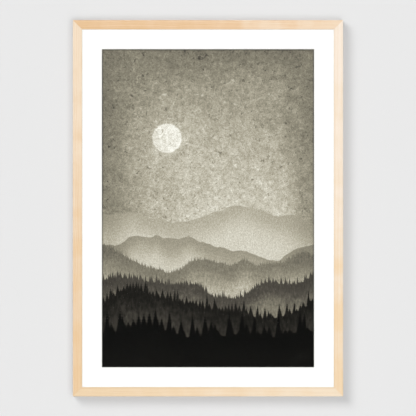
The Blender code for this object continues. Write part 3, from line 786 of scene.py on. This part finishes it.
def zinc_plate():
    """Bright zinc plating under a clear passivation: cool grey with a faint straw and
    blue cast that drifts over the metal, satin rather than mirror bright."""
    material, tree = new_material("zinc_plated_steel")
    place = add_node(tree, "TexCoord").outputs["Object"]
    cast = add_node(tree, "TexNoise", {"Vector": place, "Scale": 1 / (7 * MM), "Detail": 3.0,
                                       "Distortion": 0.8})
    tint = add_node(tree, "ValToRGB", {0: cast}, stops=((0.3, "#B6BCC2"), (0.7, "#C4C1B6")))
    grain = add_node(tree, "TexNoise", {"Vector": place, "Scale": 1 / (0.35 * MM), "Detail": 2.0})
    rough = add_node(tree, "MapRange", {0: grain, 3: 0.22, 4: 0.4})
    bump = add_node(tree, "Bump", {"Height": grain, "Strength": 0.15, "Distance": 0.01 * MM})
    shader = add_node(tree, "BsdfPrincipled", {"Base Color": tint, "Metallic": 1.0, "Roughness": rough,
                                               "Normal": bump})
    add_node(tree, "OutputMaterial", {"Surface": shader})
    return material


def hanger_points():
    """The strip on a grid. Along it runs x; its middle line rises from the rail to the
    wall on a smooth step; its lower edge is the saw, a V every pitch with a small land;
    round it goes a four-cornered section with eased corners."""
    x = np.linspace(hanger_low.x, hanger_high.x, HANGER_STATIONS)
    rise = np.clip((HANGER_RAISED / 2 + HANGER_RAMP - np.abs(x)) / HANGER_RAMP, 0, 1)
    rise = rise * rise * (3 - 2 * rise)
    flat_y = hanger_low.y + HANGER_THICKNESS / 2
    raised_y = hanger_high.y - HANGER_THICKNESS / 2
    middle = flat_y + (raised_y - flat_y) * rise
    slope = np.gradient(middle, x)
    normal_x, normal_y = -slope / np.hypot(1, slope), 1 / np.hypot(1, slope)
    from_notch = np.abs((x + TOOTH_PITCH / 2) % TOOTH_PITCH - TOOTH_PITCH / 2)
    flank = (TOOTH_PITCH - TOOTH_LAND) / 2
    tooth = -TOOTH_DEPTH * np.clip(from_notch / flank, 0, 1)
    toothed = np.abs(x) < TOOTH_PITCH * TOOTH_NOTCHES / 2
    lower = np.where(toothed, tooth, -TOOTH_DEPTH)
    upper = np.full_like(x, hanger_high.z)
    thick, ease = HANGER_THICKNESS / 2, HANGER_EASE
    section = [(thick - ease, upper), (thick, upper - ease), (thick, lower + ease), (thick - ease, lower),
               (ease - thick, lower), (-thick, lower + ease), (-thick, upper - ease), (ease - thick, upper)]
    return np.stack([np.stack([x + normal_x * out, middle + normal_y * out, edge], -1)
                     for out, edge in section], axis=1)


def turned_points(profile, segments):
    """A profile of (radius, height) turned about its axis, as rings of points."""
    angle = np.linspace(0, 2 * math.pi, segments, endpoint=False)
    radius, height = np.array(profile).T
    return np.stack([radius[:, None] * np.cos(angle), radius[:, None] * np.sin(angle),
                     np.repeat(height[:, None], segments, 1)], -1)


def subtract(piece, cutters):
    """Cut closed shapes, each as points and faces, out of a piece and keep the result."""
    for points, faces in cutters:
        cutter = bpy.data.objects.new("cutter", closed_mesh("cutter", points, faces))
        bpy.context.scene.collection.objects.link(cutter)
        modifier = piece.modifiers.new("cut", "BOOLEAN")
        modifier.operation = "DIFFERENCE"
        modifier.solver = "EXACT"
        modifier.object = cutter
        bpy.context.view_layer.update()
        evaluated = piece.evaluated_get(bpy.context.evaluated_depsgraph_get())
        result = bpy.data.meshes.new_from_object(evaluated)
        piece.modifiers.clear()
        piece.data = result
        bpy.data.objects.remove(cutter)
    piece.data.set_sharp_from_angle(angle=SHARP_ANGLE)


zinc = zinc_plate()
strip = hanger_points()
hanger = new_piece("zinc_hanger", strip, capped_faces(*strip.shape[:2]), zinc, "sawtooth_hanger")
drill = turned_points([(HANGER_HOLE_RADIUS, y) for y in DRILL_ENDS_Y], DRILL_SEGMENTS)
hole_z = (hanger_low.z + hanger_high.z) / 2
holes = [np.stack([x + drill[..., 0], drill[..., 2], hole_z + drill[..., 1]], -1)
         for x in (-HANGER_HOLE_X, HANGER_HOLE_X)]
subtract(hanger, [(hole, capped_faces(2, DRILL_SEGMENTS)) for hole in holes])

# Hanger screws: zinc-plated pan heads with a cross recess, 5.8 mm over the head.
# Their shanks stand in pilot holes in the top rail.
SCREW_HEAD_RADIUS = 2.9 * MM
SCREW_HEAD_HEIGHT = 1.4 * MM
SCREW_RIM_HEIGHT = 0.56 * MM
SCREW_SEAT_RADIUS = 2.813 * MM
SCREW_SHANK_RADIUS = 1.4 * MM
SCREW_POINT_LENGTH = 3 * MM
SCREW_TIP_RADIUS = 0.1 * MM
SCREW_SEGMENTS = 48
RECESS_HALF_SPAN = 1.45 * MM
RECESS_HALF_WIDTH = 0.36 * MM
RECESS_DEPTH = 1.3 * MM
RECESS_OVERRUN = 0.5 * MM
SCREW_TURNS = {"hanger_screw_left": 0.39, "hanger_screw_right": 1.1}


def stand_on(centre, base_y, points):
    """Points whose third value is a height, placed so that it goes from the base's depth
    towards the wall."""
    return np.stack([centre.x + points[..., 0], base_y + points[..., 2], centre.z - points[..., 1]], -1)


def cross_recess(turn):
    """The recess as a plus in three rings, narrow at its floor and full at its mouth, and
    on above the head by the overrun."""
    s, w = RECESS_HALF_SPAN, RECESS_HALF_WIDTH
    arm = np.array([(s, -w), (s, w), (w, w)])
    quarters = [np.array([[c, -n], [n, c]]) for c, n in ((1, 0), (0, 1), (-1, 0), (0, -1))]
    plus = np.concatenate([arm @ quarter.T for quarter in quarters])
    plus = plus @ np.array([[math.cos(turn), math.sin(turn)], [-math.sin(turn), math.cos(turn)]])
    levels = [(0.35, SCREW_HEAD_HEIGHT - RECESS_DEPTH), (1.0, SCREW_HEAD_HEIGHT),
              (1.25, SCREW_HEAD_HEIGHT + RECESS_OVERRUN)]
    return np.array([np.column_stack([plus * scale, np.full(len(plus), height)])
                     for scale, height in levels])


dome_size = (SCREW_HEAD_RADIUS, SCREW_HEAD_HEIGHT - SCREW_RIM_HEIGHT)
dome = corner_arc((0, 0), 1.0, 88, 0, 12) * dome_size + (0, SCREW_RIM_HEIGHT)
for node, turn in SCREW_TURNS.items():
    low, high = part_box(node)
    centre = (low + high) / 2
    seat_y = high.y - SCREW_HEAD_HEIGHT
    tip = low.y - seat_y
    profile = dome.tolist() + [(SCREW_SEAT_RADIUS, 0.0), (SCREW_SHANK_RADIUS, 0.0),
                               (SCREW_SHANK_RADIUS, tip + SCREW_POINT_LENGTH), (SCREW_TIP_RADIUS, tip)]
    turned = stand_on(centre, seat_y, turned_points(profile, SCREW_SEGMENTS))
    recess = stand_on(centre, seat_y, cross_recess(turn))
    screw = new_piece("pan_" + node, turned, capped_faces(*turned.shape[:2]), zinc, node)
    subtract(screw, [(recess, capped_faces(*recess.shape[:2]))])

# Bumpers: soft black rubber discs, 10 mm across, stuck near the bottom corners.
# They are as thick as the hanger, so the frame hangs parallel to the wall.
BUMPER_ROUND = 0.9 * MM
BUMPER_DISH = 0.03 * MM
BUMPER_CAP_RADIUS = 0.15 * MM
BUMPER_SEGMENTS = 56


def bumper_rubber():
    """Moulded rubber: deep charcoal, matt, with a fine bloom of dust on it."""
    material, tree = new_material("moulded_rubber")
    place = add_node(tree, "TexCoord").outputs["Object"]
    bloom = add_node(tree, "TexNoise", {"Vector": place, "Scale": 1 / (1.5 * MM), "Detail": 5.0})
    colour = add_node(tree, "Mix", {0: bloom, 6: linear("#1F1F20"), 7: linear("#3A3938")},
                      data_type="RGBA").outputs[2]
    rough = add_node(tree, "MapRange", {0: bloom, 3: 0.6, 4: 0.85})
    bump = add_node(tree, "Bump", {"Height": bloom, "Strength": 0.2, "Distance": 0.03 * MM})
    shader = add_node(tree, "BsdfPrincipled", {"Base Color": colour, "Roughness": rough, "Normal": bump})
    add_node(tree, "OutputMaterial", {"Surface": shader})
    return material


rubber = bumper_rubber()
for node in ("bumper_left", "bumper_right"):
    low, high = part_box(node)
    radius, height = (high.x - low.x) / 2, high.y - low.y
    rim = corner_arc((radius - BUMPER_ROUND, height - BUMPER_ROUND), BUMPER_ROUND, 90, 0, 8)
    profile = [(BUMPER_CAP_RADIUS, height), (radius / 2, height - BUMPER_DISH), *rim.tolist(),
               (radius, 0.0), (BUMPER_CAP_RADIUS, 0.0)]
    turned = stand_on((low + high) / 2, low.y, turned_points(profile, BUMPER_SEGMENTS))
    new_piece("rubber_" + node, turned, capped_faces(*turned.shape[:2]), rubber, node)

# Stage: a plain painted wall that the frame hangs on and a pale floor well below it.
# Each shows from its own side only, so that the back of the frame can be seen.
WALL_SIZE = 5.0
FLOOR_SIZE = 40.0
FLOOR_DROP = 1.5
STAGE_COLOUR = "#E2E2E2"


def one_sided_paint(name):
    """Matt emulsion paint on the front face; the other face lets everything through."""
    material, tree = new_material(name)
    place = add_node(tree, "TexCoord").outputs["Object"]
    roller = add_node(tree, "TexNoise", {"Vector": place, "Scale": 1 / (3 * MM), "Detail": 3.0})
    bump = add_node(tree, "Bump", {"Height": roller, "Strength": 0.05, "Distance": 0.1 * MM})
    paint = add_node(tree, "BsdfDiffuse", {"Color": linear(STAGE_COLOUR), "Normal": bump})
    clear = add_node(tree, "BsdfTransparent")
    behind = add_node(tree, "NewGeometry").outputs["Backfacing"]
    shader = add_node(tree, "MixShader", {0: behind, 1: paint, 2: clear})
    add_node(tree, "OutputMaterial", {"Surface": shader})
    return material


backdrops = bpy.data.collections.new("backdrops")
all_but_backdrops = bpy.data.collections.new("all_but_backdrops")


def add_backdrop(name, corners):
    """A painted plane that only the camera sees, lit by its own suns and not by those of
    the frame."""
    mesh = bpy.data.meshes.new(name)
    mesh.from_pydata(corners, [], [(0, 1, 2, 3)])
    mesh.materials.append(one_sided_paint(name + "_paint"))
    plane = bpy.data.objects.new(name, mesh)
    bpy.context.scene.collection.objects.link(plane)
    plane.visible_diffuse = False
    plane.visible_glossy = False
    plane.visible_transmission = False
    plane.visible_shadow = False
    plane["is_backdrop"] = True
    backdrops.objects.link(plane)
    all_but_backdrops.objects.link(plane)


side = WALL_SIZE / 2
bottom = MIDDLE_Z - FLOOR_DROP
top = bottom + WALL_SIZE
add_backdrop("wall", [(-side, 0, bottom), (side, 0, bottom), (side, 0, top), (-side, 0, top)])
reach = FLOOR_SIZE / 2
add_backdrop("floor", [(-reach, -reach, bottom), (reach, -reach, bottom), (reach, reach, bottom),
                       (-reach, reach, bottom)])
for entry in all_but_backdrops.collection_objects:
    entry.light_linking.link_state = "EXCLUDE"

# Light: soft suns in front, one set for the wall, whose directions give the frame its
# soft shadow there, and one for the frame, nearly straight on so that its lip throws
# hardly any shadow on the mat. Suns beside and behind light the sides and the back.
FULL_LIGHT = 3.4
LEAST_FACING = 0.5
SKY_IN_FRONT = 0.085
SKY_BEHIND = 0.55
SKY_SEEN = 0.823


def add_sun(name, tilt_deg, towards, spread_deg, share, receivers, mirrored=True):
    """A sun tilted away from straight in front, towards a direction in the wall's plane,
    that gives what it lights a share of the full light. It shows as a highlight only
    where mirrored, and never through the glazing."""
    tilt = math.radians(tilt_deg)
    x, z = np.array(towards) / np.linalg.norm(towards) * math.sin(tilt)
    data = bpy.data.lights.new(name, "SUN")
    data.angle = math.radians(spread_deg)
    data.energy = FULL_LIGHT * share / max(abs(math.cos(tilt)), LEAST_FACING)
    data.cycles.use_multiple_importance_sampling = False
    sun = bpy.data.objects.new(name, data)
    bpy.context.scene.collection.objects.link(sun)
    sun.location = (x, -math.cos(tilt), MIDDLE_Z + z)
    sun.rotation_euler = Vector((-x, math.cos(tilt), -z)).to_track_quat("-Z", "Y").to_euler()
    sun.visible_glossy = mirrored
    sun.visible_transmission = False
    sun.light_linking.receiver_collection = receivers
    return sun


floor_sun = add_sun("floor_sun", 90, (0, 1), 0.5, 0.285, backdrops)
floor_sun.data.use_shadow = False
add_sun("wall_front_sun", 0, (0, 1), 8, 0.345, backdrops)
add_sun("wall_key_sun", 43.5, (-1, 1), 31, 0.285, backdrops)
add_sun("wall_fill_sun", 15, (1, -1), 41, 0.29, backdrops)
add_sun("front_sun", 0, (0, 1), 8, 0.80, all_but_backdrops, mirrored=False)
add_sun("key_sun", 33, (-1, 1), 43, 0.12, all_but_backdrops)
add_sun("fill_sun", 24, (1, -1), 30, 0.06, all_but_backdrops, mirrored=False)
add_sun("left_sun", 101, (-1, 0), 20, 0.22, all_but_backdrops, mirrored=False)
add_sun("right_sun", 101, (1, 0), 20, 0.16, all_but_backdrops, mirrored=False)
add_sun("top_sun", 101, (0, 1), 20, 0.20, all_but_backdrops, mirrored=False)
add_sun("low_sun", 101, (0, -1), 20, 0.20, all_but_backdrops, mirrored=False)
add_sun("back_sun", 140, (1, 1), 50, 0.2, all_but_backdrops)

world = bpy.data.worlds.new("studio")
bpy.context.scene.world = world
world.use_nodes = True
sky = world.node_tree
sky.nodes.clear()
direction = add_node(sky, "TexCoord").outputs["Generated"]
behind = add_node(sky, "SeparateXYZ", {0: direction}).outputs["Y"]
lit = add_node(sky, "MapRange", {0: behind, 1: -0.02, 2: 0.3, 3: SKY_IN_FRONT, 4: SKY_BEHIND})
seen = add_node(sky, "LightPath").outputs["Is Camera Ray"]
strength = add_node(sky, "Mix", {0: seen, 2: lit, 3: SKY_SEEN}, data_type="FLOAT")
glow = add_node(sky, "Background", {"Color": (1, 1, 1, 1), "Strength": strength})
add_node(sky, "OutputWorld", {"Surface": glow})

# Camera: straight in front, a hair above the frame's middle, and so far back that the
# view is flat. The photograph is 996.7 mm wide at the face of the moulding.
CAMERA_DISTANCE = 15.0
CAMERA_ABOVE_MIDDLE = 0.6 * MM
VIEW_WIDTH = 996.7 * MM
SENSOR_WIDTH = 36
camera_data = bpy.data.cameras.new("camera")
camera_data.sensor_width = SENSOR_WIDTH
camera_data.lens = SENSOR_WIDTH * CAMERA_DISTANCE / VIEW_WIDTH
camera = bpy.data.objects.new("camera", camera_data)
bpy.context.scene.collection.objects.link(camera)
camera.location = (0, FRONT_Y - CAMERA_DISTANCE, MIDDLE_Z + CAMERA_ABOVE_MIDDLE)
camera.rotation_euler = (math.radians(90), 0, 0)
bpy.context.scene.camera = camera
bpy.context.scene.view_settings.view_transform = "Standard"

low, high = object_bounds()
